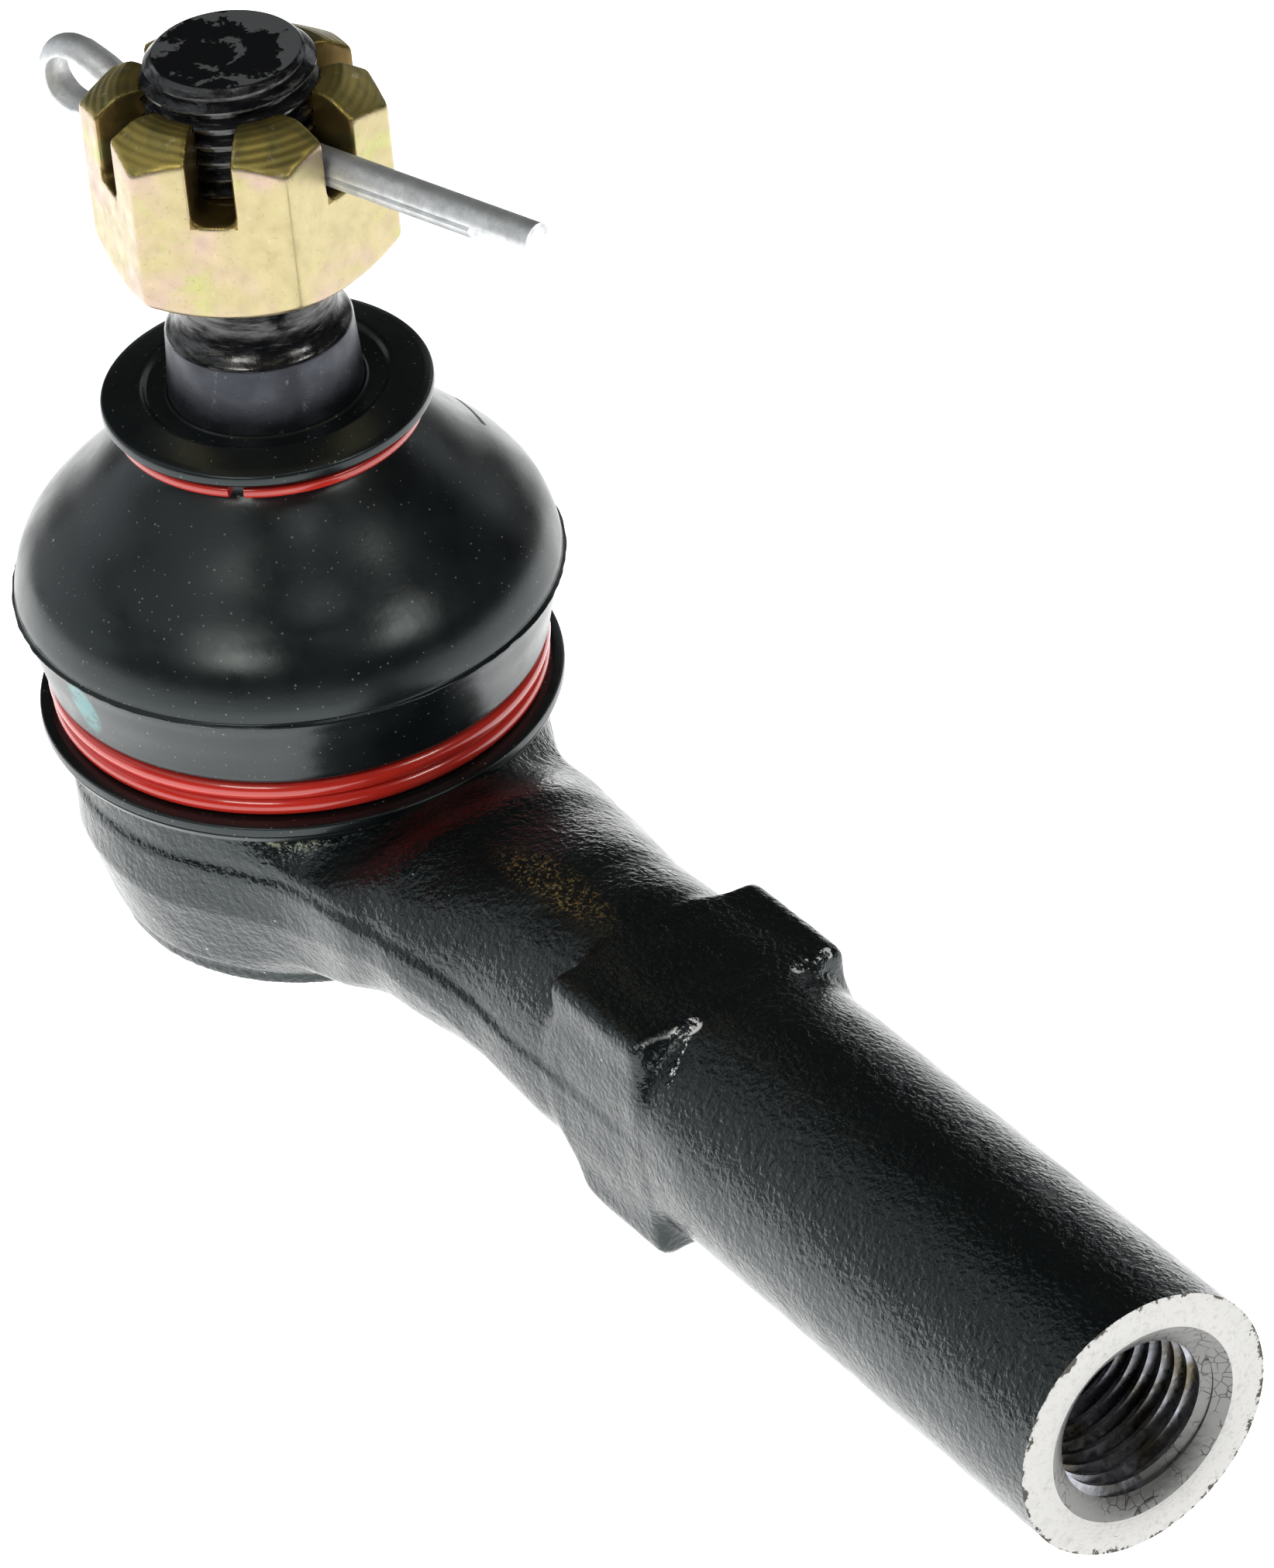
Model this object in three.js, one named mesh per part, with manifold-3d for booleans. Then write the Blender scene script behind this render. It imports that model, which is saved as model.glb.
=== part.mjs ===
// Tie rod end: a forged housing with a threaded barrel, and a ball stud that tilts and turns in it.
// Millimetres. +Z runs along the stud, +X along the barrel towards its threaded mouth.
// The origin is the centre of the end cap's flat outer face, which is level with the barrel's underside.
import * as THREE from "three";
import { mergeVertices } from "three/addons/utils/BufferGeometryUtils.js";
import Module from "manifold-3d";

const manifoldLibrary = await Module();
manifoldLibrary.setup();

// ---------------------------------------------------------------- driving dimensions
const GAP = 0.3; // clearance between neighbouring solids
const ROUND = 48; // facets around a large turned shape
const SMALL_ROUND = 36; // facets around a small turned shape

const BARREL = { radius: 11, startX: 38, endX: 111.8, axisZ: 12.8 };
const BORE = { radius: 6.2, mouthRadius: 8.2, mouthDepth: 1.6, depth: 46, drillTip: 3.5 };
const BOSS = { startX: 50.6, endX: 62.2, half: 10, chamfer: 1 };
const NECK = [
  { x: 4, halfWidth: 16.5, bottomZ: 1.4, topZ: 16.8 },
  { x: 17, halfWidth: 15.6, bottomZ: 2.2, topZ: 17.4 },
  { x: 29, halfWidth: 12.4, bottomZ: 3.6, topZ: 21 },
  { x: 41, halfWidth: 10.8, bottomZ: 3.2, topZ: 22.8 },
  { x: 54, halfWidth: 10.6, bottomZ: 2.4, topZ: 23.2 },
];

const HEAD = { footRadius: 15.8, lowRadius: 17.3, lowZ: 1.4, radius: 19.2, draftTopZ: 9, shoulderZ: 18.6 };
const COLLAR = { radius: 17, topZ: 23.8 };
const SOCKET = { capRadius: 14.9, boreRadius: 13.9, capSeatZ: 3.4, roofZ: 19.5, throatRadius: 11.6 };
const CRIMP = { innerRadius: 12.2, height: 1.2 };

const BALL = { radius: 11, centreZ: 14.3, flatZ: 5.3 };
const STUD = { neckRadius: 6, neckTopZ: 32, taperBottomZ: 45, taperTopZ: 53.5, taperTopRadius: 7.5 };
const STUD_TAPER = 1 / 16; // radius lost per millimetre of height, a 1:8 taper on diameter
const STUD_THREAD = { radius: 6.7, startZ: 56.8, chamferZ: 77, topZ: 78.4, topRadius: 5.9 };

const NUT = { acrossFlats: 21.4, bottomZ: 60.3, topZ: 75.8, slotBottomZ: 68.9, slotWidth: 3.5, slots: 6 };
const NUT_CHAMFER = { bottomRadius: 10.4, topRadius: 8.7, slope: Math.tan(THREE.MathUtils.degToRad(33)) };
const PIN_ANGLE = THREE.MathUtils.degToRad(17.3); // the cotter pin's heading about the stud
const PIN = { radius: 1.45, split: 0.16, z: 70.8, eyeX: -16.2, eyeRadius: 2.7, shortTip: 24.3, longTip: 30 };

const BOOT = { wall: 1.6, bottomZ: 18.9, beadRadius: 21.1, lipTopZ: 48.2, lipRadius: 13.3 };
const UPPER_RING = { innerRadius: 10.8, outerRadius: 12.4, bottomZ: 44.9, height: 0.9, splitWidth: 1.6 };
const LOWER_RING = { wireRadius: 0.76, radius: 19.55, bottomZ: 20.56, pitch: 1.75 };

// ---------------------------------------------------------------- shaping helpers

/** Turns a list of [radius, height] points about Z. The points run upwards on the outside. */
function revolve(profile, facets = ROUND) {
  const points = profile.map(([radius, height]) => new THREE.Vector2(radius, height));
  const geometry = new THREE.LatheGeometry(points, facets);
  geometry.rotateX(Math.PI / 2);
  return geometry;
}

/** Turns a list of [radius, x] points about the barrel's axis, which runs along X. */
function revolveAlongBarrel(profile, facets = ROUND) {
  const geometry = revolve(profile, facets);
  geometry.rotateY(Math.PI / 2);
  geometry.translate(0, 0, BARREL.axisZ);
  return geometry;
}

/** Points of an arc in [radius, height] form, from one angle to another in degrees. */
function arc(centreRadius, centreHeight, radius, fromDegrees, toDegrees, steps) {
  return Array.from({ length: steps + 1 }, (_, step) => {
    const angle = THREE.MathUtils.degToRad(fromDegrees + ((toDegrees - fromDegrees) * step) / steps);
    return [centreRadius + radius * Math.cos(angle), centreHeight + radius * Math.sin(angle)];
  });
}

/** A closed polygon of [x, y] points pulled up along Z from bottomZ by height. */
function extrude(outline, bottomZ, height) {
  const shape = new THREE.Shape(outline.map(([x, y]) => new THREE.Vector2(x, y)));
  const geometry = new THREE.ExtrudeGeometry(shape, { depth: height, bevelEnabled: false });
  geometry.translate(0, 0, bottomZ);
  return geometry;
}

/** A regular polygon's corners, with the first corner at startAngle. */
function polygon(sides, radius, startAngle = 0) {
  return Array.from({ length: sides }, (_, side) => {
    const angle = startAngle + (side * 2 * Math.PI) / sides;
    return [radius * Math.cos(angle), radius * Math.sin(angle)];
  });
}

/** A solid that manifold-3d can join and cut, from a closed geometry. */
function toSolid(geometry) {
  const bare = geometry.clone();
  bare.deleteAttribute("normal");
  bare.deleteAttribute("uv");
  const merged = mergeVertices(bare, 1e-4);
  const mesh = new manifoldLibrary.Mesh({
    numProp: 3,
    vertProperties: new Float32Array(merged.attributes.position.array),
    triVerts: new Uint32Array(merged.index.array),
  });
  return new manifoldLibrary.Manifold(mesh);
}

/** The joined or cut solid as a geometry again. */
function toGeometry(solid) {
  const mesh = solid.getMesh();
  const geometry = new THREE.BufferGeometry();
  geometry.setAttribute("position", new THREE.BufferAttribute(new Float32Array(mesh.vertProperties), 3));
  geometry.setIndex(new THREE.BufferAttribute(new Uint32Array(mesh.triVerts), 1));
  geometry.computeVertexNormals();
  return geometry;
}

// ---------------------------------------------------------------- housing

/** The cup that holds the ball: a drafted wall on a small foot, and the collar the boot clamps on. */
function headSolid() {
  return toSolid(
    revolve([
      [0, 0],
      [HEAD.footRadius, 0],
      [HEAD.lowRadius, HEAD.lowZ],
      [HEAD.radius - 0.3, HEAD.draftTopZ],
      [HEAD.radius, HEAD.draftTopZ + 3],
      [HEAD.radius, HEAD.shoulderZ],
      [COLLAR.radius, HEAD.shoulderZ],
      [COLLAR.radius, COLLAR.topZ - 0.5],
      [COLLAR.radius - 0.5, COLLAR.topZ],
      [0, COLLAR.topZ],
    ])
  );
}

/** The neck's half width, bottom and top at x, easing from each station to the next. */
function neckAt(x) {
  const tolerance = 0.01;
  const next = Math.max(1, NECK.findIndex((station) => station.x >= x - tolerance));
  const [from, to] = [NECK[next - 1], NECK[next]];
  const eased = THREE.MathUtils.smoothstep(x, from.x, to.x);
  const between = (key) => THREE.MathUtils.lerp(from[key], to[key], eased);
  return { halfWidth: between("halfWidth"), bottomZ: between("bottomZ"), topZ: between("topZ") };
}

/** The forging's neck: an oval bar that narrows and arches from the head to the barrel. */
function neckSolid() {
  const startX = NECK[0].x;
  const length = NECK[NECK.length - 1].x - startX;
  const geometry = new THREE.CylinderGeometry(1, 1, length, ROUND, 16);
  geometry.rotateZ(-Math.PI / 2);
  geometry.translate(startX + length / 2, 0, 0);
  const position = geometry.attributes.position;
  for (let index = 0; index < position.count; index += 1) {
    const { halfWidth, bottomZ, topZ } = neckAt(position.getX(index));
    const middleZ = (topZ + bottomZ) / 2;
    position.setY(index, position.getY(index) * halfWidth);
    position.setZ(index, middleZ + (position.getZ(index) * (topZ - bottomZ)) / 2);
  }
  return toSolid(geometry);
}

/** The round barrel, with a small chamfer on its machined end. */
function barrelSolid() {
  const chamfer = 0.4;
  return toSolid(
    revolveAlongBarrel([
      [0, BARREL.startX],
      [BARREL.radius - 2, BARREL.startX],
      [BARREL.radius, BARREL.startX + 10],
      [BARREL.radius, BARREL.endX - chamfer],
      [BARREL.radius - chamfer, BARREL.endX],
      [0, BARREL.endX],
    ])
  );
}

/** The square boss with cut corners that a spanner holds. */
function bossSolid() {
  const inner = BOSS.half - BOSS.chamfer;
  const outline = [
    [BOSS.half, -inner],
    [BOSS.half, inner],
    [inner, BOSS.half],
    [-inner, BOSS.half],
    [-BOSS.half, inner],
    [-BOSS.half, -inner],
    [-inner, -BOSS.half],
    [inner, -BOSS.half],
  ];
  const geometry = extrude(outline, BOSS.startX, BOSS.endX - BOSS.startX);
  geometry.rotateY(Math.PI / 2);
  geometry.translate(0, 0, BARREL.axisZ);
  return toSolid(geometry);
}

/** The socket: cap seat, bearing bore, roof shoulder and a flared throat that the stud leans into. */
function socketCavity() {
  return toSolid(
    revolve([
      [0, -1],
      [CRIMP.innerRadius, -1],
      [CRIMP.innerRadius, CRIMP.height],
      [SOCKET.capRadius, CRIMP.height],
      [SOCKET.capRadius, SOCKET.capSeatZ],
      [SOCKET.boreRadius, SOCKET.capSeatZ],
      [SOCKET.boreRadius, SOCKET.roofZ],
      [SOCKET.throatRadius, SOCKET.roofZ + 1.2],
      [SOCKET.throatRadius + 1.4, COLLAR.topZ + 1],
      [0, COLLAR.topZ + 1],
    ])
  );
}

/** The blind tapped hole in the barrel, at its minor diameter, with its countersunk mouth. */
function boreCavity() {
  const bottomX = BARREL.endX - BORE.depth;
  return toSolid(
    revolveAlongBarrel(
      [
        [0, bottomX - BORE.drillTip],
        [BORE.radius, bottomX],
        [BORE.radius, BARREL.endX - BORE.mouthDepth],
        [BORE.mouthRadius, BARREL.endX],
        [BORE.mouthRadius, BARREL.endX + 1],
        [0, BARREL.endX + 1],
      ],
      SMALL_ROUND
    )
  );
}

/** The room beside each of the four flats, so that a spanner passes the round barrel. */
function spannerRoom() {
  const depth = 4;
  const side = 2 * (BOSS.half + depth);
  let room = null;
  for (let flat = 0; flat < 4; flat += 1) {
    const slab = new THREE.BoxGeometry(BOSS.endX - BOSS.startX, side, depth);
    slab.translate((BOSS.startX + BOSS.endX) / 2, 0, BOSS.half + depth / 2);
    slab.rotateX((flat * Math.PI) / 2);
    slab.translate(0, 0, BARREL.axisZ);
    room = room ? room.add(toSolid(slab)) : toSolid(slab);
  }
  return room;
}

function housing() {
  const round = headSolid().add(neckSolid()).add(barrelSolid());
  const forging = round.subtract(spannerRoom()).add(bossSolid());
  return toGeometry(forging.subtract(socketCavity()).subtract(boreCavity()));
}

// ---------------------------------------------------------------- inside the socket

/** Spherical part of a bearing's bore, from one height to another, listed downwards. */
function sphericalBore(radius, fromZ, toZ, steps) {
  const fromAngle = Math.asin((fromZ - BALL.centreZ) / radius);
  const toAngle = Math.asin((toZ - BALL.centreZ) / radius);
  return arc(
    0,
    BALL.centreZ,
    radius,
    THREE.MathUtils.radToDeg(fromAngle),
    THREE.MathUtils.radToDeg(toAngle),
    steps
  );
}

/** A bearing ring between two heights, with a plain outside and a spherical bore. */
function bearingRing(bottomZ, topZ) {
  const outer = SOCKET.boreRadius - GAP;
  const bore = sphericalBore(BALL.radius + GAP, topZ, bottomZ, 6);
  return revolve([...bore, [outer, bottomZ], [outer, topZ], bore[0]], SMALL_ROUND);
}

function upperBearingShell() {
  return bearingRing(BALL.centreZ + GAP, SOCKET.roofZ - GAP);
}

function lowerBearingSeat() {
  return bearingRing(6.6, BALL.centreZ - GAP);
}

/** A shallow cone washer that presses the seat up against the ball. */
function preloadSpring() {
  const thickness = 0.9;
  const inner = { radius: 9, z: 5.3 };
  const outer = { radius: 13.3, z: 3.8 };
  return revolve([
    [inner.radius, inner.z],
    [outer.radius, outer.z],
    [outer.radius, outer.z + thickness],
    [inner.radius, inner.z + thickness],
    [inner.radius, inner.z],
  ]);
}

/** A pressed cover: its rim sits in the crimp, and its pan stands out level with the base. */
function endCap() {
  const thickness = 1.6;
  const panRadius = 10.4;
  const rimZ = CRIMP.height + GAP;
  return revolve([
    [0, 0],
    [panRadius, 0],
    [panRadius + 0.8, rimZ],
    [SOCKET.capRadius - GAP, rimZ],
    [SOCKET.capRadius - GAP, rimZ + thickness],
    [panRadius, rimZ + thickness],
    [panRadius - 0.9, thickness],
    [0, thickness],
  ]);
}

// ---------------------------------------------------------------- stud, nut and cotter pin

/** A plain round bar across the stud along the pin's line. */
function crossBar(radius, halfLength) {
  const bar = revolve(
    [
      [0, -halfLength],
      [radius, -halfLength],
      [radius, halfLength],
      [0, halfLength],
    ],
    16
  );
  bar.rotateY(Math.PI / 2);
  bar.rotateZ(PIN_ANGLE);
  bar.translate(0, 0, PIN.z);
  return toSolid(bar);
}

/** Radius of the stud's taper at a height. */
function taperRadius(z) {
  return STUD.taperTopRadius + (STUD.taperTopZ - z) * STUD_TAPER;
}

function ballStud() {
  const flatAngle = THREE.MathUtils.radToDeg(Math.asin((BALL.flatZ - BALL.centreZ) / BALL.radius));
  const neckAngle = THREE.MathUtils.radToDeg(Math.acos(STUD.neckRadius / BALL.radius));
  const taperBottomRadius = taperRadius(STUD.taperBottomZ);
  const turned = toSolid(
    revolve(
      [
        [0, BALL.flatZ],
        ...arc(0, BALL.centreZ, BALL.radius, flatAngle, neckAngle, 14),
        [STUD.neckRadius, STUD.neckTopZ],
        [taperBottomRadius, STUD.taperBottomZ],
        [STUD.taperTopRadius, STUD.taperTopZ],
        [STUD_THREAD.radius - 0.4, STUD.taperTopZ + 1.6],
        [STUD_THREAD.radius - 0.4, STUD_THREAD.startZ],
        [STUD_THREAD.radius, STUD_THREAD.startZ + 0.4],
        [STUD_THREAD.radius, STUD_THREAD.chamferZ],
        [STUD_THREAD.topRadius, STUD_THREAD.topZ],
        [0, STUD_THREAD.topZ],
      ],
      SMALL_ROUND
    )
  );
  return toGeometry(turned.subtract(crossBar(PIN.radius + GAP, STUD_THREAD.radius + 1)));
}

/** The hexagon with both ends chamfered, bored to clear the thread and slotted from the top. */
function castleNut() {
  const height = NUT.topZ - NUT.bottomZ;
  const cornerRadius = NUT.acrossFlats / Math.sqrt(3);
  const hexagon = toSolid(extrude(polygon(6, cornerRadius, PIN_ANGLE + Math.PI / 6), NUT.bottomZ, height));
  const reach = cornerRadius + 1;
  const envelope = toSolid(
    revolve([
      [0, NUT.bottomZ],
      [NUT_CHAMFER.bottomRadius, NUT.bottomZ],
      [reach, NUT.bottomZ + (reach - NUT_CHAMFER.bottomRadius) * NUT_CHAMFER.slope],
      [reach, NUT.topZ - (reach - NUT_CHAMFER.topRadius) * NUT_CHAMFER.slope],
      [NUT_CHAMFER.topRadius, NUT.topZ],
      [0, NUT.topZ],
    ])
  );
  const boreRadius = STUD_THREAD.radius + GAP;
  let nut = hexagon.intersect(envelope).subtract(
    toSolid(
      revolve(
        [
          [0, NUT.bottomZ - 1],
          [boreRadius, NUT.bottomZ - 1],
          [boreRadius, NUT.topZ + 1],
          [0, NUT.topZ + 1],
        ],
        SMALL_ROUND
      )
    )
  );
  for (let slot = 0; slot < NUT.slots; slot += 1) {
    const cutter = new THREE.BoxGeometry(reach, NUT.slotWidth, height);
    cutter.translate(reach / 2, 0, NUT.slotBottomZ + height / 2);
    cutter.rotateZ(PIN_ANGLE + (slot * 2 * Math.PI) / NUT.slots);
    nut = nut.subtract(toSolid(cutter));
  }
  return toGeometry(nut);
}

/** One half-round leg from the eye to its tip, on the upper (+1) or lower (-1) side. */
function pinLeg(side, tipX) {
  const outline = arc(0, 0, PIN.radius, 0, 180, 8).map(([x, y]) => [x, y + PIN.split / 2]);
  const startX = PIN.eyeX + PIN.eyeRadius;
  const leg = extrude(outline, startX, tipX - startX);
  leg.rotateX(Math.PI / 2);
  leg.rotateZ(Math.PI / 2);
  if (side < 0) {
    leg.rotateX(Math.PI);
  }
  return toSolid(leg);
}

/** Cotter pin: a wire eye and two straight half-round legs, the upper one longer. */
function cotterPin() {
  const eye = new THREE.TorusGeometry(PIN.eyeRadius, PIN.radius * 0.8, 10, 28);
  eye.rotateX(Math.PI / 2);
  eye.translate(PIN.eyeX, 0, 0);
  const pin = toSolid(eye).add(pinLeg(1, PIN.longTip)).add(pinLeg(-1, PIN.shortTip));
  const geometry = toGeometry(pin);
  geometry.rotateZ(PIN_ANGLE);
  geometry.translate(0, 0, PIN.z);
  return geometry;
}

// ---------------------------------------------------------------- boot and its rings

/** The boot's outer shoulder as [radius, height] points, from its neck up to the upper ring's groove. */
const bootShoulder = [
  [19.7, 24.5],
  [21.1, 26.4],
  [22, 28.4],
  [22.1, 30.6],
  [21.5, 32.8],
  [20.2, 35],
  [18.3, 37],
  [15.9, 39.3],
  [13.6, 41.5],
  [11.8, 43.4],
];

/** Rubber boot: a flat sealing lip on the stud, a round shoulder and a neck on the housing collar. */
function dustBoot() {
  const hole = taperRadius(BOOT.lipTopZ - 3.4) + GAP;
  const neckInner = COLLAR.radius + GAP;
  const neckOuter = LOWER_RING.radius - LOWER_RING.wireRadius - GAP / 2;
  const grooveRadius = UPPER_RING.innerRadius - GAP / 2;
  const ringTopZ = UPPER_RING.bottomZ + UPPER_RING.height;
  const lining = bootShoulder.map(([radius, z]) => [radius - BOOT.wall * 1.1, z - BOOT.wall * 0.4]).reverse();
  return revolve([
    [neckInner, BOOT.bottomZ],
    [BOOT.beadRadius, BOOT.bottomZ],
    [BOOT.beadRadius, BOOT.bottomZ + 0.6],
    [neckOuter, BOOT.bottomZ + 0.6],
    [neckOuter, 23.6],
    ...bootShoulder,
    [grooveRadius, UPPER_RING.bottomZ - GAP],
    [grooveRadius, ringTopZ + GAP / 2],
    [BOOT.lipRadius, ringTopZ + GAP],
    [BOOT.lipRadius, BOOT.lipTopZ - 0.8],
    [9.9, BOOT.lipTopZ],
    [hole, BOOT.lipTopZ - 0.4],
    [hole, UPPER_RING.bottomZ - 0.6],
    ...lining,
    [neckInner, 23.5],
    [neckInner, BOOT.bottomZ],
  ]);
}

/** Split flat ring that grips the boot under its lip. */
function upperRing() {
  const halfSplit = UPPER_RING.splitWidth / UPPER_RING.outerRadius / 2;
  const steps = 40;
  const splitAngle = -Math.PI / 4;
  const edge = (radius, step) => {
    const angle = splitAngle + halfSplit + ((2 * Math.PI - 2 * halfSplit) * step) / steps;
    return [radius * Math.cos(angle), radius * Math.sin(angle)];
  };
  const outline = [];
  for (let step = 0; step <= steps; step += 1) {
    outline.push(edge(UPPER_RING.outerRadius, step));
  }
  for (let step = steps; step >= 0; step -= 1) {
    outline.push(edge(UPPER_RING.innerRadius, step));
  }
  return extrude(outline, UPPER_RING.bottomZ, UPPER_RING.height);
}

/** The lower ring's wire: a turn, a step up at the back, and most of a second turn above the first. */
class WoundTurns extends THREE.Curve {
  getPoint(along, target = new THREE.Vector3()) {
    const turned = along * 1.8;
    const climb = THREE.MathUtils.smoothstep(turned, 0.84, 0.98);
    const angle = (turned + 0.36) * 2 * Math.PI;
    return target.set(
      LOWER_RING.radius * Math.cos(angle),
      LOWER_RING.radius * Math.sin(angle),
      LOWER_RING.bottomZ + climb * LOWER_RING.pitch
    );
  }
}

/** Coated wire wound nearly twice round the boot's neck. */
function lowerRing() {
  const section = new THREE.Shape(
    polygon(8, LOWER_RING.wireRadius).map(([x, y]) => new THREE.Vector2(x, y))
  );
  return new THREE.ExtrudeGeometry(section, { extrudePath: new WoundTurns(), steps: 66 });
}

// ---------------------------------------------------------------- assembly

const finishes = {
  blackPaint: { color: 0x121314, roughness: 0.38, metalness: 0.2 },
  machinedSteel: { color: 0x9a9c9e, roughness: 0.35, metalness: 1 },
  studSteel: { color: 0x2a2d31, roughness: 0.35, metalness: 0.9 },
  yellowZinc: { color: 0xc9b878, roughness: 0.4, metalness: 0.85 },
  brightZinc: { color: 0xb9bfc4, roughness: 0.35, metalness: 0.9 },
  rubber: { color: 0x17181a, roughness: 0.5, metalness: 0 },
  redCoating: { color: 0xb01218, roughness: 0.3, metalness: 0 },
  nylon: { color: 0xd8d4c4, roughness: 0.5, metalness: 0 },
};

const tieRodEnd = new THREE.Group();

function addPiece(name, geometry, finish) {
  const piece = new THREE.Mesh(geometry, new THREE.MeshStandardMaterial(finishes[finish]));
  piece.name = name;
  tieRodEnd.add(piece);
}

addPiece("housing", housing(), "blackPaint");
addPiece("end_cap", endCap(), "machinedSteel");
addPiece("preload_spring", preloadSpring(), "machinedSteel");
addPiece("lower_bearing_seat", lowerBearingSeat(), "nylon");
addPiece("upper_bearing_shell", upperBearingShell(), "nylon");
addPiece("boot_lower_ring", lowerRing(), "redCoating");
addPiece("dust_boot", dustBoot(), "rubber");
addPiece("boot_upper_ring", upperRing(), "redCoating");
addPiece("ball_stud", ballStud(), "studSteel");
addPiece("castle_nut", castleNut(), "yellowZinc");
addPiece("cotter_pin", cotterPin(), "brightZinc");

export default tieRodEnd;
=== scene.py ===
"""Tie rod end: the visual model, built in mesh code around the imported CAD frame.

Lengths are in millimetres until a mesh is made, and in metres after that. +Z runs along the stud and +X
along the barrel, as in the frame.
"""
import math

import bpy
import numpy as np
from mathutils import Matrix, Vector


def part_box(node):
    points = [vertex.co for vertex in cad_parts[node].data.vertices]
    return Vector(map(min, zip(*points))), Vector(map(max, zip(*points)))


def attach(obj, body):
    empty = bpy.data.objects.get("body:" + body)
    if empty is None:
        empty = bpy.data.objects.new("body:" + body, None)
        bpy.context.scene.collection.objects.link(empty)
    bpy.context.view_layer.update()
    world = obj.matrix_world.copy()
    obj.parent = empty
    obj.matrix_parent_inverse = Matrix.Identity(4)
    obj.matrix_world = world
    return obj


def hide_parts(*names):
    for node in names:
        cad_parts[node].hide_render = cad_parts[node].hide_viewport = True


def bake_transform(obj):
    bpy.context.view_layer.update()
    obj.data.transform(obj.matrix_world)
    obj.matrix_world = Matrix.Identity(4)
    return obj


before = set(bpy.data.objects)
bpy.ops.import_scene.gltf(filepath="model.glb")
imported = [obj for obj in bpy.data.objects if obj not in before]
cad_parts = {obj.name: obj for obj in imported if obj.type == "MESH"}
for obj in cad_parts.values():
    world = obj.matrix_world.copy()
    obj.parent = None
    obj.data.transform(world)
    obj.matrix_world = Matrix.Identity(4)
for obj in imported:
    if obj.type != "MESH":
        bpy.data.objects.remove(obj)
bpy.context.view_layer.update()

import openvdb
from mathutils import Matrix, Vector

MM = 0.001


def box_mm(node):
    """A CAD node's lowest and highest corner in millimetres."""
    low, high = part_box(node)
    return low / MM, high / MM


# -------- driving sizes, some read from the frame
BARREL_RADIUS = 11.0
BARREL_Z = 12.8
END_X = box_mm("housing")[1].x
STUD_TOP = box_mm("ball_stud")[1].z
NUT_BOTTOM, NUT_TOP = box_mm("castle_nut")[0].z, box_mm("castle_nut")[1].z
PIN_Z, PIN_HEADING = 70.8, math.radians(17.3)
PIN_TURN = Matrix.Rotation(PIN_HEADING, 4, "Z")
THREAD = {"crest": 6.94, "root": 6.1, "pitch": 1.5, "start": 52.18}


# -------- camera
def add_camera():
    """A long lens above the barrel's side, rolled a little."""
    azimuth, elevation, roll = (math.radians(angle) for angle in (58.52, 36.13, -5.44))
    distance, shift_right, shift_up, aim_z = 681.1, 28.60, -24.01, 37.8
    level = math.cos(elevation)
    back = Vector((math.sin(azimuth) * level, -math.cos(azimuth) * level, math.sin(elevation)))
    level_right = Vector((math.cos(azimuth), math.sin(azimuth), 0))
    level_up = back.cross(level_right)
    right = level_right * math.cos(roll) + level_up * math.sin(roll)
    up = back.cross(right)
    place = back * distance + right * shift_right + up * shift_up + Vector((0, 0, aim_z))
    data = bpy.data.cameras.new("camera")
    data.sensor_width = 36
    data.lens = 195.75
    data.clip_end = 10
    camera = bpy.data.objects.new("camera", data)
    turn = Matrix((right, up, back)).transposed()
    camera.matrix_world = Matrix.Translation(place * MM) @ turn.to_4x4()
    bpy.context.collection.objects.link(camera)
    bpy.context.scene.camera = camera


add_camera()


# -------- mesh helpers
def new_object(name, points, faces, smooth_angle=35):
    """A mesh object from points in millimetres, with edges sharper than smooth_angle left crisp."""
    mesh = bpy.data.meshes.new(name)
    corners = [list(map(int, face)) for face in faces]
    mesh.from_pydata((np.asarray(points, float) * MM).tolist(), [], corners)
    mesh.validate()
    piece = bpy.data.objects.new(name, mesh)
    bpy.context.collection.objects.link(piece)
    set_sharp_edges(piece, smooth_angle)
    return piece


def set_sharp_edges(piece, smooth_angle):
    """Shades smooth, apart from edges where the faces meet at more than smooth_angle."""
    piece.data.shade_smooth()
    piece.data.set_sharp_from_angle(angle=math.radians(smooth_angle))


def cut(piece, tool, operation="DIFFERENCE"):
    """Applies one boolean between two closed meshes, and removes the tool."""
    modifier = piece.modifiers.new("cut", "BOOLEAN")
    modifier.object = tool
    modifier.operation = operation
    modifier.solver = "MANIFOLD"
    evaluated = piece.evaluated_get(bpy.context.evaluated_depsgraph_get())
    result = bpy.data.meshes.new_from_object(evaluated)
    piece.modifiers.clear()
    old = piece.data
    piece.data = result
    result.name = piece.name
    bpy.data.meshes.remove(old)
    bpy.data.objects.remove(tool)


def rounded(corners, steps=4):
    """A (radius, height) outline from (radius, height, rounding) corners, listed in order."""
    outline = []
    for index, (radius, height, rounding) in enumerate(corners):
        here = np.array((radius, height), float)
        if not rounding:
            outline.append(tuple(here))
            continue
        before = np.array(corners[index - 1][:2], float) - here
        after = np.array(corners[(index + 1) % len(corners)][:2], float) - here
        spans = np.linalg.norm(before), np.linalg.norm(after)
        before, after = before / spans[0], after / spans[1]
        half = math.acos(max(-1, min(1, before @ after))) / 2
        reach = min(rounding / math.tan(half), 0.48 * min(spans))
        for step in range(steps + 1):
            t = step / steps
            outline.append(tuple(here + before * reach * (1 - t) ** 2 + after * reach * t**2))
    return outline


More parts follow.
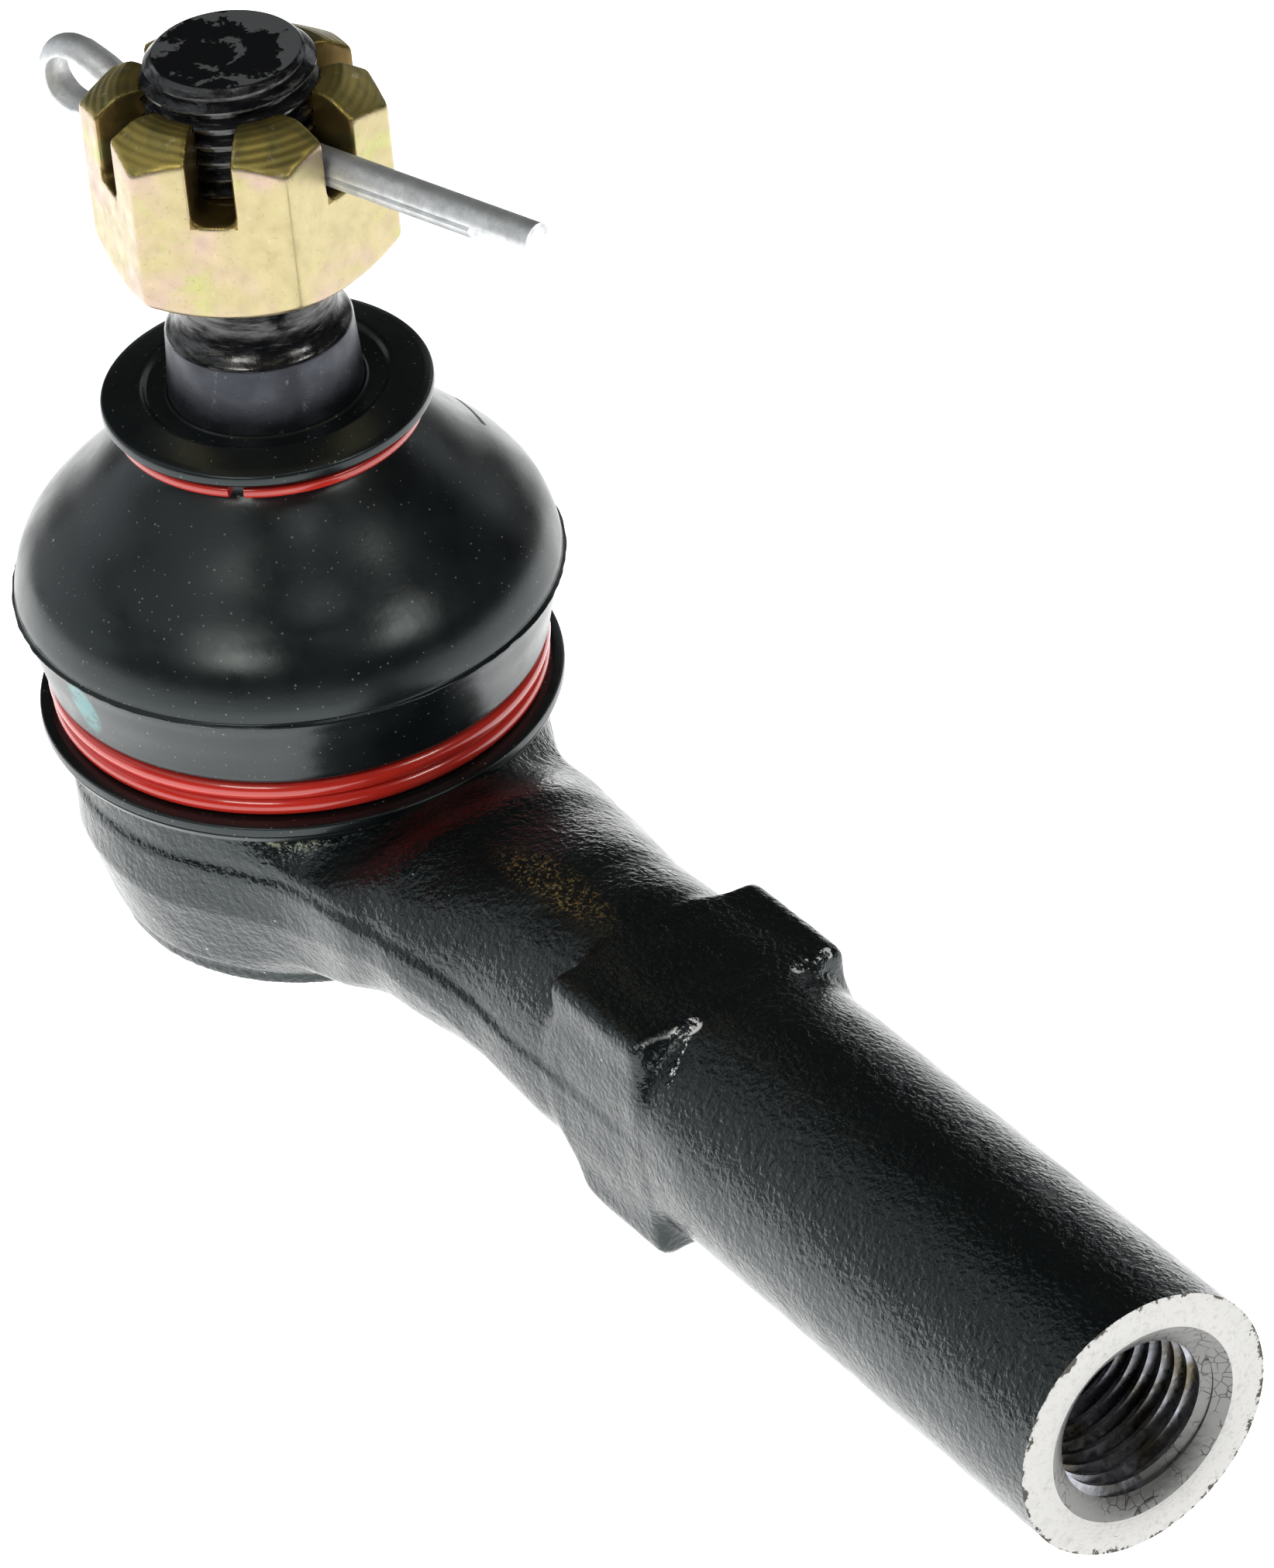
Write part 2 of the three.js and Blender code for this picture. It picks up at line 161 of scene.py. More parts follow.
def curve_through(points, steps=6):
    """A smooth Catmull-Rom line through the points, ends included."""
    points = [np.array(point, float) for point in points]
    padded = [2 * points[0] - points[1], *points, 2 * points[-1] - points[-2]]
    line = []
    for a, b, c, d in zip(padded, padded[1:], padded[2:], padded[3:]):
        for step in range(steps):
            t = step / steps
            cubic = 2 * b + (c - a) * t
            cubic += (2 * a - 5 * b + 4 * c - d) * t**2
            cubic += (3 * b - a - 3 * c + d) * t**3
            line.append(0.5 * cubic)
    line.append(points[-1])
    return [tuple(point) for point in line]


def arc(centre_height, radius, start, end, steps):
    """(radius, height) points of an arc centred on the axis, from one angle to another in degrees."""
    angles = np.radians(np.linspace(start, end, steps + 1))
    return [(radius * math.cos(a), centre_height + radius * math.sin(a)) for a in angles]


def lathe_data(outline, segments, closed):
    """Points and faces of an outline turned about Z. Points on the axis become single poles."""
    angles = np.arange(segments) * 2 * math.pi / segments
    points, rings = [], []
    for radius, height in outline:
        if radius < 1e-6:
            rings.append([len(points)] * segments)
            points.append((0, 0, height))
        else:
            rings.append(list(range(len(points), len(points) + segments)))
            points.extend(zip(radius * np.cos(angles), radius * np.sin(angles), [height] * segments))
    pairs = list(zip(rings, rings[1:]))
    if closed:
        pairs.append((rings[-1], rings[0]))
    faces = []
    for low, high in pairs:
        for j in range(segments):
            k = (j + 1) % segments
            corners = [low[j], low[k], high[k], high[j]]
            faces.append([corner for place, corner in enumerate(corners) if corner != corners[place - 1]])
    return np.array(points, float), faces


def moved(points, turn):
    """The points carried by a matrix."""
    return points @ np.array(turn.to_3x3()).T + np.array(turn.translation)


def lathe(name, outline, segments=192, closed=False, smooth_angle=35, shape=None, turn=None):
    """A turned piece. The outline runs upwards on the outside; shape moves its points, turn is a matrix."""
    points, faces = lathe_data(outline, segments, closed)
    if shape:
        points = shape(points)
    if turn is not None:
        points = moved(points, turn)
    return new_object(name, points, faces, smooth_angle)


ALONG_BARREL = Matrix.Translation((0, 0, BARREL_Z)) @ Matrix.Rotation(math.pi / 2, 4, "Y")


def thread_tool(name, crest, root, bottom, top, segments=120, turn=None):
    """A closed right-hand V-threaded rod, its rows following the helix."""
    pitch = THREAD["pitch"]
    flat = 0.09
    crest_flat = flat * 0.7
    crest_start, crest_end = 0.5 - crest_flat, 0.5 + crest_flat
    levels = [(0, root), (flat, root), (crest_start, crest), (crest_end, crest), (1 - flat, root)]
    laps = int((top - bottom) / pitch) + 1
    shares = np.array([share + lap for lap in range(laps) for share, _ in levels])
    radii = np.array([radius for _, radius in levels] * laps)
    per_turn, rows = len(levels), len(shares)
    angles = np.arange(segments) * 2 * math.pi / segments
    climb = angles / (2 * math.pi)
    height = bottom + pitch * (shares[:, None] + climb[None, :])
    points = np.stack([radii[:, None] * np.cos(angles), radii[:, None] * np.sin(angles), height], axis=2)
    points = points.reshape(-1, 3)
    faces = []
    for row in range(rows - 1):
        for j in range(segments - 1):
            first = row * segments + j
            faces.append((first, first + 1, first + segments + 1, first + segments))
        if row + per_turn + 1 < rows:
            last = row * segments + segments - 1
            far = (row + per_turn) * segments
            faces.append((last, far, far + segments, last + segments))
    low_loop = list(range(segments)) + [row * segments for row in range(per_turn, 0, -1)]
    top_row = rows - 1
    seam_row = top_row - per_turn
    high_loop = [top_row * segments + j for j in range(segments)]
    high_loop += [row * segments + segments - 1 for row in range(top_row - 1, seam_row - 1, -1)]
    centre_low, centre_high = len(points), len(points) + 1
    points = np.vstack([points, (0, 0, bottom - pitch), (0, 0, height[-1, 0] + pitch)])
    for a, b in zip(low_loop, low_loop[1:] + low_loop[:1]):
        faces.append((b, a, centre_low))
    for a, b in zip(high_loop, high_loop[1:] + high_loop[:1]):
        faces.append((a, b, centre_high))
    if turn is not None:
        points = moved(points, turn)
    return new_object(name, points, faces)


def sweep(name, path, outs, section, smooth_angle):
    """A section of (out, side) points carried along a path; outs gives the out direction at each point."""
    path, outs = np.array(path, float), np.array(outs, float)
    ahead = np.gradient(path, axis=0)
    ahead /= np.linalg.norm(ahead, axis=1)[:, None]
    outs -= ahead * np.sum(outs * ahead, axis=1)[:, None]
    outs /= np.linalg.norm(outs, axis=1)[:, None]
    sides = np.cross(ahead, outs)
    points = [here + out * o + side * s for here, out, side in zip(path, outs, sides) for o, s in section]
    size = len(section)
    faces = []
    for step in range(len(path) - 1):
        for j in range(size):
            k = (j + 1) % size
            faces.append((step * size + j, step * size + k, (step + 1) * size + k, (step + 1) * size + j))
    last = (len(path) - 1) * size
    faces.append(tuple(range(size - 1, -1, -1)))
    faces.append(tuple(range(last, last + size)))
    return new_object(name, points, faces, smooth_angle)


# -------- sampled shapes
def spline_weights(count, cell):
    """Cubic B-spline weights that carry a coarse row of values to count samples, cell samples apart."""
    place = np.arange(count) / cell
    base = np.floor(place).astype(int)
    t = place - base
    cubic = ((1 - t) ** 3, 3 * t**3 - 6 * t**2 + 4, -3 * t**3 + 3 * t**2 + 3 * t + 1, t**3)
    weights = np.zeros((count, base.max() + 4))
    for step, share in enumerate(cubic):
        weights[np.arange(count), base + step] += share / 6
    return weights


class Block:
    """A block of evenly spaced sample points, for shapes given by their distance to the surface."""

    def __init__(self, low, high, voxel):
        self.low, self.voxel = np.array(low, float), voxel
        counts = np.ceil((np.array(high, float) - self.low) / voxel).astype(int) + 1
        self.shape = tuple(counts)
        axes = [self.low[axis] + voxel * np.arange(counts[axis], dtype=np.float32) for axis in range(3)]
        spread = np.meshgrid(*axes, indexing="ij", sparse=True)
        self.x, self.y, self.z = (axis.astype(np.float32) for axis in spread)

    def noise(self, size, rng):
        """Smooth random values, about -1 to 1, whose lumps are about size across."""
        weights = [spline_weights(count, size / self.voxel) for count in self.shape]
        lattice = rng.standard_normal([axis.shape[1] for axis in weights])
        return 2 * np.einsum("ia,jb,kc,abc->ijk", *weights, lattice, optimize=True).astype(np.float32)

    def surface(self, name, field, smooth_angle=60):
        """The closed mesh where the field is zero."""
        grid = openvdb.FloatGrid(background=self.voxel * 3)
        grid.copyFromArray(np.ascontiguousarray(field, dtype=np.float32))
        points, quads = grid.convertToQuads(0.0)
        return new_object(name, points * self.voxel + self.low, quads, smooth_angle)


def blend_union(a, b, reach):
    """Joins two distance fields with a fillet about reach wide."""
    near = np.maximum(1 - np.abs(a - b) / reach, 0)
    return np.minimum(a, b) - near**2 * reach / 4


def blend_cut(a, b, reach):
    """Keeps what is inside both distance fields, with the edge between them rounded."""
    return -blend_union(-a, -b, reach)


def ease(t):
    """Runs from 0 to 1 with a soft start and end."""
    t = np.clip(t, 0, 1)
    return t * t * (3 - 2 * t)


def rounded_corner(du, dv, rounding):
    """Distance to a rounded corner; du and dv are how far a point is past the rounding's centre."""
    outside = np.sqrt(np.maximum(du, 0) ** 2 + np.maximum(dv, 0) ** 2)
    return outside + np.minimum(np.maximum(du, dv), 0) - rounding


def rounded_square(u, v, half, rounding):
    """Distance to a square bar with rounded corners."""
    return rounded_corner(np.abs(u) - (half - rounding), np.abs(v) - (half - rounding), rounding)


# -------- materials
class Shader:
    """A Principled material and short ways to build the nodes that feed it."""

    def __init__(self, name, **values):
        self.material = bpy.data.materials.new(name)
        self.material.use_nodes = True
        tree = self.material.node_tree
        self.nodes, self.links = tree.nodes, tree.links
        self.principled = self.nodes["Principled BSDF"]
        for socket, value in values.items():
            self.principled.inputs[socket.replace("_", " ")].default_value = value
        self.place = self.add("ShaderNodeTexCoord", {}).outputs["Object"]

    def add(self, kind, inputs, **attributes):
        """A node of this kind, its inputs given as values or as other nodes' outputs."""
        node = self.nodes.new(kind)
        for key, value in attributes.items():
            setattr(node, key, value)
        for key, value in inputs.items():
            if isinstance(value, bpy.types.NodeSocket):
                self.links.new(value, node.inputs[key])
            else:
                node.inputs[key].default_value = value
        return node

    def feed(self, socket, source):
        """Links an output to one of the Principled shader's sockets."""
        self.links.new(source, self.principled.inputs[socket])

    def noise(self, size, detail=3.0, roughness=0.55, distortion=0.0, stretch=None):
        """Noise from 0 to 1 whose lumps are about size millimetres across."""
        place = self.place
        if stretch:
            place = self.add("ShaderNodeMapping", {"Vector": place, "Scale": stretch}).outputs["Vector"]
        settings = {"Vector": place, "Scale": 1 / (size * MM), "Detail": detail, "Roughness": roughness,
                    "Distortion": distortion}
        return self.add("ShaderNodeTexNoise", settings).outputs["Fac"]

    def cells(self, size, feature="F1", output="Distance"):
        """Voronoi cells about size millimetres across."""
        return self.add("ShaderNodeTexVoronoi", {"Vector": self.place, "Scale": 1 / (size * MM)},
                        feature=feature).outputs[output]

    def ramp(self, source, low, high, start=0.0, end=1.0):
        """Maps low..high of the source to start..end, held outside it."""
        settings = {"Value": source, "From Min": low, "From Max": high, "To Min": start, "To Max": end}
        return self.add("ShaderNodeMapRange", settings).outputs["Result"]

    def math(self, operation, a, b):
        """One step of arithmetic."""
        return self.add("ShaderNodeMath", {0: a, 1: b}, operation=operation).outputs["Value"]

    def vector(self, operation, a, b=(0, 0, 0), output="Vector"):
        """One step of arithmetic on vectors, in metres."""
        return self.add("ShaderNodeVectorMath", {0: a, 1: b}, operation=operation).outputs[output]

    def rings(self, place, axis, scale, distortion):
        """Round tool marks about an axis, from 0 to 1."""
        settings = {"Vector": place, "Scale": scale, "Distortion": distortion}
        wave = self.add("ShaderNodeTexWave", settings, wave_type="RINGS", rings_direction=axis)
        return wave.outputs["Fac"]

    def mix(self, factor, a, b):
        """Colour a where the factor is 0 and b where it is 1."""
        a, b = ((*tone, 1) if isinstance(tone, tuple) else tone for tone in (a, b))
        return self.add("ShaderNodeMix", {"Factor": factor, 6: a, 7: b}, data_type="RGBA").outputs[2]

    def near(self, centre, reach, soft=0.5):
        """1 inside an ellipsoid about centre, falling to 0 over its outer soft share; millimetres."""
        scale = tuple(1 / (size * MM) for size in reach)
        offset = self.vector("SUBTRACT", self.place, tuple(part * MM for part in centre))
        length = self.vector("LENGTH", self.vector("MULTIPLY", offset, scale), output="Value")
        return self.ramp(length, 1 - soft, 1, 1, 0)

    def stroke(self, start, end, reach):
        """1 within reach of the line from start to end, falling to 0 just beyond; millimetres."""
        run = Vector(end) - Vector(start)
        offset = self.vector("SUBTRACT", self.place, Vector(start) * MM)
        share = self.ramp(self.vector("DOT_PRODUCT", offset, run / (run.length_squared * MM), "Value"), 0, 1)
        nearest = self.add("ShaderNodeVectorMath", {0: tuple(run * MM), "Scale": share}, operation="SCALE")
        gap = self.vector("DISTANCE", offset, nearest.outputs["Vector"], "Value")
        return self.ramp(gap, 0.8 * reach * MM, reach * MM, 1, 0)

    def colour(self, factor, a, b):
        """Base colour a where the factor is 0 and b where it is 1."""
        self.feed("Base Color", self.mix(factor, a, b))

    def vary_roughness(self, size, detail, low, high):
        """Roughness that wanders between low and high."""
        self.feed("Roughness", self.ramp(self.noise(size, detail), 0.3, 0.7, low, high))

    def relief(self, size, detail, distance, strength, stretch=None):
        """A plain uneven skin, whose full height is distance millimetres."""
        self.feed("Normal", self.bump(self.noise(size, detail, stretch=stretch), distance, strength))

    def bump(self, height, distance, strength=1.0, under=None):
        """Bump whose full height is distance millimetres."""
        inputs = {"Height": height, "Distance": distance * MM, "Strength": strength}
        if under is not None:
            inputs["Normal"] = under
        return self.add("ShaderNodeBump", inputs).outputs["Normal"]


def dust(shader, cell, radius, amount):
    """Sparse pale specks, 1 on a speck: amount is the share of cells that hold one."""
    spread = shader.cells(cell)
    chosen = shader.add("ShaderNodeSeparateColor", {"Color": shader.cells(cell, output="Color")}).outputs[0]
    rare = shader.ramp(chosen, 1 - amount, 1)
    reach = shader.math("MULTIPLY", rare, radius / cell)
    return shader.ramp(shader.math("SUBTRACT", reach, spread), 0, 0.02)


CHIPS = [  # the two ends, reach and colour of the places where the paint is knocked off
    ((62.4, -10.0, 22.7), (62.8, -4.8, 22.9), 0.75, (0.95, 0.95, 0.95)),
    ((63.0, -5.2, 22.7), (64.4, -8.6, 19.9), 0.30, (0.95, 0.95, 0.95)),
    ((62.3, 5.2, 23.0), (61.9, 8.4, 22.6), 0.55, (0.85, 0.86, 0.87)),
    ((15.2, -13.0, 17.6), (17.6, -11.2, 17.6), 1.1, (0.30, 0.33, 0.22)),
]
COOL = (0.87, 0.98, 1.0, 1)  # the tint of the highlights on the black pieces


def black_paint():
    """Gloss black paint over the pebbled forged skin, with dust, rubbed edges and a brown oil stain."""
    paint = Shader("black_paint", Specular_IOR_Level=0.52, Specular_Tint=COOL)
    base = paint.mix(paint.noise(9, 2), (0.003, 0.0045, 0.0045), (0.006, 0.0085, 0.0085))
    speckle = paint.ramp(paint.noise(0.36, 4, 0.75), 0.54, 0.61)
    stain = paint.math("MULTIPLY", paint.near((41.0, -2.6, 22), (9.5, 2.3, 4), 0.5), speckle)
    base = paint.mix(stain, base, (0.26, 0.18, 0.06))
    torn = paint.ramp(paint.noise(0.7, 5, 0.7), 0.50, 0.53)
    for start, end, reach, tone in CHIPS:
        chip = paint.math("MULTIPLY", paint.stroke(start, end, reach), torn)
        base = paint.mix(chip, base, tone)
    specks = dust(paint, 1.6, 0.16, 0.22)
    base = paint.mix(specks, base, (0.35, 0.36, 0.34))
    paint.feed("Base Color", base)
    paint.vary_roughness(3.5, 4, 0.16, 0.30)
    pebbles = paint.bump(paint.noise(0.5, 2, 0.5, 0.4), 0.14, 1.0)
    paint.feed("Normal", paint.bump(paint.noise(1.3, 2, 0.5), 0.11, 1.0, pebbles))
    return paint.material


def machined_face():
    """The barrel's sawn and faced end: bright, with fine turning marks, a few stains and a nicked rim."""
    face = Shader("machined_face", Metallic=0.85, Roughness=0.45)
    stains = face.ramp(face.noise(1.1, 5, 0.75), 0.66, 0.74)
    offset = face.vector("SUBTRACT", face.place, (0, 0, BARREL_Z * MM))
    radius = face.vector("LENGTH", face.vector("MULTIPLY", offset, (0, 1, 1)), output="Value")
    by_rim = face.ramp(radius, (BARREL_RADIUS - 0.9) * MM, BARREL_RADIUS * MM, 0, 0.22)
    nicks = face.ramp(face.math("ADD", face.noise(1.3, 5, 0.7), by_rim), 0.70, 0.73)
    base = face.mix(stains, (0.45, 0.447, 0.435), (0.19, 0.15, 0.11))
    base = face.mix(face.ramp(face.noise(0.5, 4, 0.7), 0.5, 0.7), base, (0.36, 0.357, 0.35))
    face.colour(nicks, base, (0.06, 0.055, 0.045))
    face.feed("Normal", face.bump(face.rings(offset, "X", 900, 1.5), 0.01, 0.35))
    return face.material


def countersink():
    """The bore's grey mouth, with chatter marks across it."""
    mouth = Shader("countersink", Metallic=0.9, Roughness=0.42)
    cracks = mouth.ramp(mouth.cells(0.9, "DISTANCE_TO_EDGE"), 0, 0.06, 1, 0)
    marks = mouth.math("MULTIPLY", cracks, mouth.ramp(mouth.noise(2.2, 3), 0.46, 0.54))
    mouth.colour(marks, (0.18, 0.18, 0.177), (0.025, 0.022, 0.02))
    mouth.relief(0.8, 4, 0.06, 0.8)
    return mouth.material


def tapped_thread():
    """Dark oiled steel in the tapped bore."""
    thread = Shader("tapped_thread", Metallic=0.95, Roughness=0.3)
    oil = thread.ramp(thread.noise(4, 3), 0.42, 0.62)
    thread.colour(oil, (0.36, 0.37, 0.41), (0.15, 0.135, 0.10))
    thread.vary_roughness(0.7, 3, 0.2, 0.42)
    thread.relief(0.5, 3, 0.03, 0.6)
    return thread.material


def turned_metal(name, tone, roughness):
    """Plain turned or pressed steel with a fine uneven finish."""
    metal = Shader(name, Metallic=0.95, Roughness=roughness)
    dark = tuple(channel * 0.62 for channel in tone)
    metal.colour(metal.ramp(metal.noise(4, 5, 0.6), 0.35, 0.7), tone, dark)
    metal.vary_roughness(1.5, 4, roughness * 0.8, roughness * 1.3)
    metal.relief(0.6, 3, 0.015, 0.6, stretch=(1, 1, 3))
    return metal.material


def yellow_zinc(name, pale, blush, green, roughness):
    """Chromate over zinc: a pale yellow that drifts to pink and green, with fine scratches."""
    zinc = Shader(name, Metallic=0.82, Roughness=roughness)
    drift = zinc.ramp(zinc.noise(7.5, 2, 0.5, 0.8), 0.44, 0.62)
    tone = zinc.mix(drift, pale, blush)
    tone = zinc.mix(zinc.ramp(zinc.noise(5.2, 3, 0.6, 1.4), 0.55, 0.7), tone, green)
    rubs = zinc.ramp(zinc.noise(0.9, 6, 0.75), 0.62, 0.72)
    tone = zinc.mix(rubs, tone, tuple(min(1, channel * 1.25) for channel in pale))
    flecks = zinc.ramp(zinc.noise(0.3, 3, 0.7), 0.60, 0.72)
    zinc.colour(flecks, tone, tuple(channel * 0.72 for channel in pale))
    zinc.vary_roughness(1.4, 5, roughness * 0.8, roughness * 1.35)
    fine = zinc.bump(zinc.noise(0.35, 3, stretch=(1, 1, 0.25)), 0.012, 0.6)
    zinc.feed("Normal", zinc.bump(zinc.noise(3, 3), 0.05, 0.5, fine))
    return zinc.material


def nut_top():
    """The nut's turned top: darker olive gold with round tool marks."""
    top = Shader("nut_top", Metallic=0.85, Roughness=0.42)
    tone = top.mix(top.ramp(top.noise(4, 3, 0.6, 1), 0.4, 0.65), (0.42, 0.33, 0.09), (0.26, 0.23, 0.08))
    top.colour(top.ramp(top.noise(1.2, 5, 0.7), 0.6, 0.7), tone, (0.62, 0.55, 0.36))
    top.feed("Normal", top.bump(top.rings(top.place, "Z", 480, 0.8), 0.05, 0.5))
    return top.material


def stud_black():
    """Glossy black phosphate and oil on the threads and the undercut."""
    black = Shader("stud_black", Roughness=0.2, Coat_Weight=0.1, Coat_Roughness=0.06)
    streaks = black.ramp(black.noise(2.4, 4, 0.62, stretch=(1, 1, 9)), 0.56, 0.7)
    black.colour(streaks, (0.005, 0.0055, 0.007), (0.10, 0.10, 0.095))
    sheen = black.ramp(black.noise(3.0, 4, 0.6, stretch=(1, 1, 6)), 0.38, 0.6, 0.1, 0.9)
    black.feed("Specular IOR Level", sheen)
    black.vary_roughness(1.1, 4, 0.12, 0.32)
    black.relief(0.7, 4, 0.05, 0.7)
    return black.material


def stud_taper():
    """Blue-black ground taper with fine scratches and scuffs."""
    taper = Shader("stud_taper", Metallic=0.75, Roughness=0.34)
    scuffs = taper.ramp(taper.noise(1.0, 6, 0.78, stretch=(1, 1, 0.45)), 0.6, 0.7)
    base = taper.mix(taper.noise(5, 3), (0.030, 0.033, 0.042), (0.075, 0.08, 0.095))
    taper.colour(scuffs, base, (0.22, 0.22, 0.23))
    taper.vary_roughness(2, 4, 0.26, 0.46)
    taper.relief(0.5, 4, 0.015, 0.6, stretch=(1, 1, 3))
    return taper.material


def stud_end():
    """The stud's end face: black, worn to grey in patches near the rim and on one side."""
    end = Shader("stud_end", Metallic=0.35, Roughness=0.3)
    worn = end.noise(3.1, 7, 0.64, 0.35, stretch=(1.05, 0.9, 1.0))
    radius = end.vector("LENGTH", end.vector("MULTIPLY", end.place, (1, 1, 0)), output="Value")
    rim = end.ramp(radius, 3.0 * MM, 5.6 * MM, 0.0, 0.13)
    aside = end.vector("DOT_PRODUCT", end.place, (0.15, 0.99, 0), "Value")
    one_side = end.ramp(aside, -5 * MM, 5 * MM, -0.06, 0.1)
    patches = end.ramp(end.math("ADD", end.math("ADD", worn, rim), one_side), 0.60, 0.615)
    end.colour(patches, (0.010, 0.011, 0.013), (0.19, 0.195, 0.205))
    end.feed("Roughness", end.ramp(patches, 0, 1, 0.2, 0.42))
    end.feed("Normal", end.bump(patches, 0.03, 0.4, end.bump(end.noise(0.4, 3), 0.01, 0.5)))
    return end.material


def black_rubber():
    """Satin rubber with fine and coarse dust, a thin scar and a teal paint dab."""
    rubber = Shader("black_rubber", Specular_IOR_Level=0.5, Specular_Tint=COOL)
    base = rubber.mix(rubber.noise(8, 3), (0.003, 0.0048, 0.0052), (0.007, 0.0095, 0.010))
    dab = rubber.math("MULTIPLY", rubber.near((2.3, -21.3, 27.0), (1.8, 1.8, 3.2), 0.3),
                      rubber.ramp(rubber.noise(1.0, 4), 0.3, 0.5))
    base = rubber.mix(dab, base, (0.05, 0.22, 0.22))
    base = rubber.mix(dust(rubber, 0.5, 0.10, 0.6), base, (0.15, 0.15, 0.14))
    base = rubber.mix(dust(rubber, 3.2, 0.22, 0.3), base, (0.38, 0.37, 0.32))
    rubber.feed("Base Color", base)
    scar = rubber.stroke((-1.6, 18.2, 37.1), (3.3, 17.4, 37.5), 0.32)
    rubber.feed("Roughness", rubber.ramp(rubber.math("ADD", rubber.noise(4, 4), scar), 0.3, 1.9, 0.23, 0.7))
    scarred = rubber.bump(rubber.ramp(scar, 0, 1, 1, 0), 0.12)
    rubber.feed("Normal", rubber.bump(rubber.noise(0.5, 3), 0.012, 0.6, scarred))
    return rubber.material


def red_coating():
    """Thick glossy red coating on the rings."""
    red = Shader("red_coating", Roughness=0.22, Coat_Weight=0.6, Coat_Roughness=0.08)
    red.colour(red.noise(2.5, 3), (0.50, 0.020, 0.012), (0.64, 0.030, 0.017))
    red.relief(1.4, 3, 0.02, 0.5)
    return red.material


def bright_zinc():
    """Zinc-plated wire with fine lines drawn along it."""
    zinc = Shader("bright_zinc", Metallic=0.75, Roughness=0.5)
    along = zinc.add("ShaderNodeMapping", {"Vector": zinc.place, "Rotation": (0, 0, -PIN_HEADING),
                                           "Scale": (0.08, 1, 1)}).outputs["Vector"]
    lines = zinc.add("ShaderNodeTexNoise", {"Vector": along, "Scale": 4200, "Detail": 3}).outputs["Fac"]
    zinc.colour(zinc.ramp(zinc.noise(1.6, 5, 0.7), 0.4, 0.65), (0.82, 0.84, 0.85),
                (0.60, 0.62, 0.63))
    zinc.vary_roughness(0.8, 4, 0.44, 0.62)
    zinc.feed("Normal", zinc.bump(lines, 0.02, 0.6))
    return zinc.material


def bearing_plastic():
    """Off-white moulded bearing plastic, greased."""
    plastic = Shader("bearing_plastic", Roughness=0.45, Specular_IOR_Level=0.45)
    plastic.colour(plastic.noise(3, 4), (0.66, 0.62, 0.50), (0.50, 0.45, 0.34))
    plastic.relief(0.8, 3, 0.02, 0.5)
    return plastic.material


def dress(piece, *materials, indices=0):
    """Gives a piece its materials, and each face the one with its index."""
    mesh = piece.data
    mesh.materials.clear()
    for material in materials:
        mesh.materials.append(material)
    mesh.polygons.foreach_set("material_index", np.full(len(mesh.polygons), indices, np.int32))
    mesh.update()


def face_facts(piece):
    """The centres in millimetres and the normals of a piece's faces."""
    count = len(piece.data.polygons)
    centres, normals = np.empty(count * 3), np.empty(count * 3)
    piece.data.polygons.foreach_get("center", centres)
    piece.data.polygons.foreach_get("normal", normals)
    return centres.reshape(-1, 3) / MM, normals.reshape(-1, 3)


# -------- housing
HEAD_PROFILE = [(0, 18.6), (0.5, 19.1), (9, 19.35), (18.6, 19.3)]  # height and radius
SHOULDER_Z, STEP_RADIUS, COLLAR_TOP, COLLAR_RADIUS = 18.6, 18.2, 23.8, 17.0
PARTING = {"z": 13.6, "rise": 1.6, "rise_x": 32, "rise_length": 12, "groove": 0.18, "ledge": 0.15}
DRAFT_SLOPE = 0.25
DRAFT_EDGE = [  # x and height of the crease under the parting line
    (-20, 9.2), (0, 9.1), (5.5, 8.6), (9, 9.0), (15, 9.3), (18, 9.6), (22, 10.7), (26, 12.0),
    (30, 12.5), (33, 12.4), (36, 11.7), (38, 10.8), (44, 8.5), (52, 5), (60, 2),
]
BOSS = {"start": 50.3, "end": 62.2, "half": 10.0, "rounding": 1.4}
BORE = {"radius": 6.25, "depth": 46, "tip_depth": 49.5, "mouth_radius": 8.2, "mouth_depth": 1.4}
TAP = {"crest": 7.05, "root": 6.15}
SOCKET_RADIUS = 14.9
BAR_STATIONS = [  # x, half width, bottom, top
    (4, 16.8, 1.4, 16.8),
    (17, 16.0, 2.2, 17.4),
    (29, 12.5, 3.6, 21.0),
    (41, 10.8, 3.2, 22.8),
    (49, 10.95, 2.0, 23.6),
    (60, BARREL_RADIUS, BARREL_Z - BARREL_RADIUS, BARREL_Z + BARREL_RADIUS),
]


def eased_station(x, column):
    """One measure of the bar at x, easing from each station to the next."""
    places = [station[0] for station in BAR_STATIONS]
    values = [station[column] for station in BAR_STATIONS]
    index = np.clip(np.searchsorted(places, x) - 1, 0, len(places) - 2)
    start, end = np.take(places, index), np.take(places, index + 1)
    t = ease((x - start) / (end - start))
    return np.take(values, index) * (1 - t) + np.take(values, index + 1) * t


